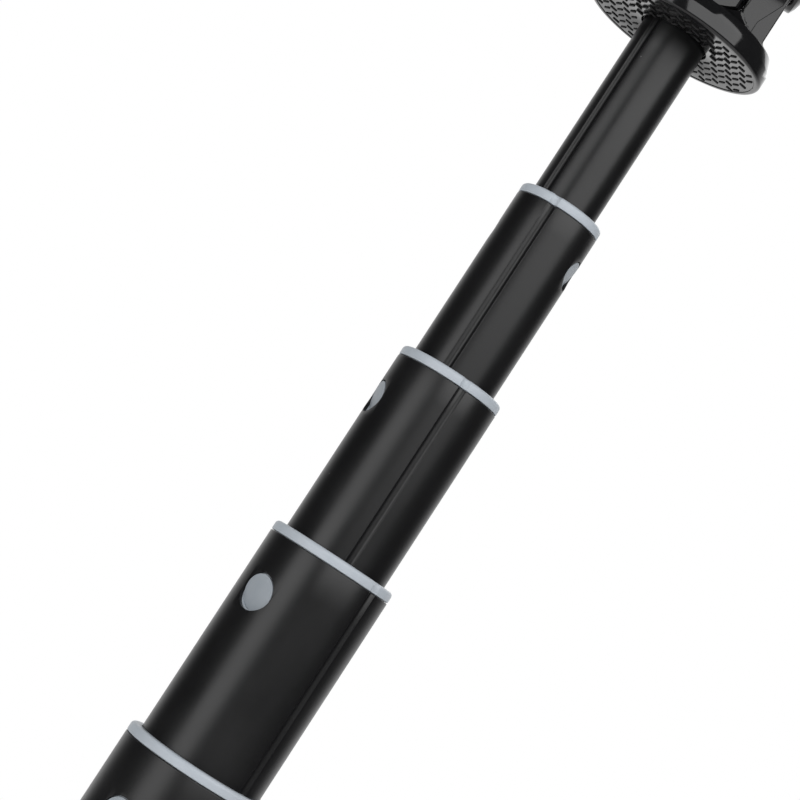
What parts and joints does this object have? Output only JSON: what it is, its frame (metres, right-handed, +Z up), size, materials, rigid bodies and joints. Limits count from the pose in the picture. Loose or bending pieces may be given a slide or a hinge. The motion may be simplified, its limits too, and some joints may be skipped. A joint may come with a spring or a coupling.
{
  "type": "selfie stick tripod",
  "caption": "Telescoping mast of five nested tubes with grey collar rings, on three folding shell legs, with a tilting and turning spring phone clamp and a docked remote.",
  "frame": {"origin": "middle of the flat end face at the foot of the column; the soles of the open legs are 3.9 mm lower", "axes": "+Z up along the mast, the phone clamp faces -Y, the tilt axis lies along X, the first leg points to +Y"},
  "size_m": [0.2008, 0.1781, 0.3719],
  "materials": {
    "mast_metal": "black anodised tube, satin",
    "ring_plastic": "light grey moulded nylon",
    "gloss_black": "gloss black moulding",
    "satin_black": "fine textured black moulding",
    "plate_grey": "grey plate with stamped dashes",
    "soft_black": "black soft rubber",
    "steel": "bright steel",
    "spring_steel": "spring wire",
    "black_steel": "blackened screw steel",
    "washer_nylon": "natural nylon",
    "board_green": "green circuit board",
    "cell_steel": "coin cell can",
    "key_grey": "light grey button"
  },
  "bodies": {
    "column": {"mast_tube_5": "mast_metal", "collar_5": "ring_plastic", "end_cap": "satin_black", "leg_hub": "gloss_black", "leg_pins": "steel"},
    "section_4": {"mast_tube_4": "mast_metal", "collar_4": "ring_plastic", "guide_sleeve_4": "ring_plastic"},
    "section_3": {"mast_tube_3": "mast_metal", "collar_3": "ring_plastic", "guide_sleeve_3": "ring_plastic"},
    "section_2": {"mast_tube_2": "mast_metal", "collar_2": "ring_plastic", "guide_sleeve_2": "ring_plastic"},
    "section_1": {"mast_tube_1": "mast_metal", "guide_sleeve_1": "ring_plastic", "head_fork": "gloss_black", "head_plate": "plate_grey", "head_plug": "satin_black", "head_screw": "steel", "tilt_pin": "steel", "tilt_knob": "gloss_black", "tilt_boss": "gloss_black", "tilt_washers": "washer_nylon"},
    "arm": {"tilt_arm": "gloss_black", "turn_screw": "black_steel", "turn_washer": "washer_nylon"},
    "clamp": {"clamp_back": "gloss_black", "clamp_cover": "satin_black", "rod_guide": "satin_black", "jaw_pad_lower": "soft_black", "jaw_springs": "spring_steel"},
    "jaw": {"sliding_jaw": "gloss_black", "jaw_pad_upper": "soft_black", "guide_rods": "steel"},
    "leg_a": {"leg_1": "satin_black", "leg_grip_1": "soft_black", "leg_foot_1": "soft_black"},
    "leg_b": {"leg_2": "satin_black", "leg_grip_2": "soft_black", "leg_foot_2": "soft_black"},
    "leg_c": {"leg_3": "satin_black", "leg_grip_3": "soft_black", "leg_foot_3": "soft_black"},
    "remote": {"remote_back": "satin_black", "remote_front": "gloss_black", "remote_board": "board_green", "remote_cell": "cell_steel"},
    "key": {"remote_key": "key_grey"}
  },
  "joints": [
    {"name": "mast_slide_4", "type": "slide", "parent": "column", "child": "section_4", "axis": [0, 0, 1], "range_m": [-0.0324, 0.0806]},
    {"name": "mast_slide_3", "type": "slide", "parent": "section_4", "child": "section_3", "axis": [0, 0, 1], "range_m": [-0.0286, 0.0824]},
    {"name": "mast_slide_2", "type": "slide", "parent": "section_3", "child": "section_2", "axis": [0, 0, 1], "range_m": [-0.027, 0.082]},
    {"name": "mast_slide_1", "type": "slide", "parent": "section_2", "child": "section_1", "axis": [0, 0, 1], "range_m": [-0.0292, 0.0742]},
    {"name": "head_tilt", "type": "hinge", "parent": "section_1", "child": "arm", "pos_m": [0, 0, 0.295], "axis": [-1, 0, 0], "range_deg": [0, 90]},
    {"name": "clamp_turn", "type": "hinge", "parent": "arm", "child": "clamp", "pos_m": [0, -0.0145, 0.329], "axis": [0, -1, 0], "continuous": true},
    {"name": "jaw_slide", "type": "slide", "parent": "clamp", "child": "jaw", "axis": [0, 0, 1], "range_m": [0, 0.03], "stiffness_N_per_m": 350, "springref_m": -0.03, "deforming": ["jaw_springs"]},
    {"name": "leg_fold_a", "type": "hinge", "parent": "column", "child": "leg_a", "pos_m": [0, 0.0155, 0.112], "axis": [-1, 0, 0], "range_deg": [0, 40]},
    {"name": "leg_fold_b", "type": "hinge", "parent": "column", "child": "leg_b", "pos_m": [-0.01342, -0.00775, 0.112], "axis": [0.5, -0.866, 0], "range_deg": [0, 40]},
    {"name": "leg_fold_c", "type": "hinge", "parent": "column", "child": "leg_c", "pos_m": [0.01342, -0.00775, 0.112], "axis": [0.5, 0.866, 0], "range_deg": [0, 40]},
    {"name": "remote_pull", "type": "slide", "parent": "leg_a", "child": "remote", "axis": [0, 0.766, 0.6428], "range_m": [0, 0.012]},
    {"name": "key_press", "type": "slide", "parent": "remote", "child": "key", "axis": [0, -0.766, -0.6428], "range_m": [0, 0.0005], "stiffness_N_per_m": 1500, "springref_m": -0.0003}
  ]
}
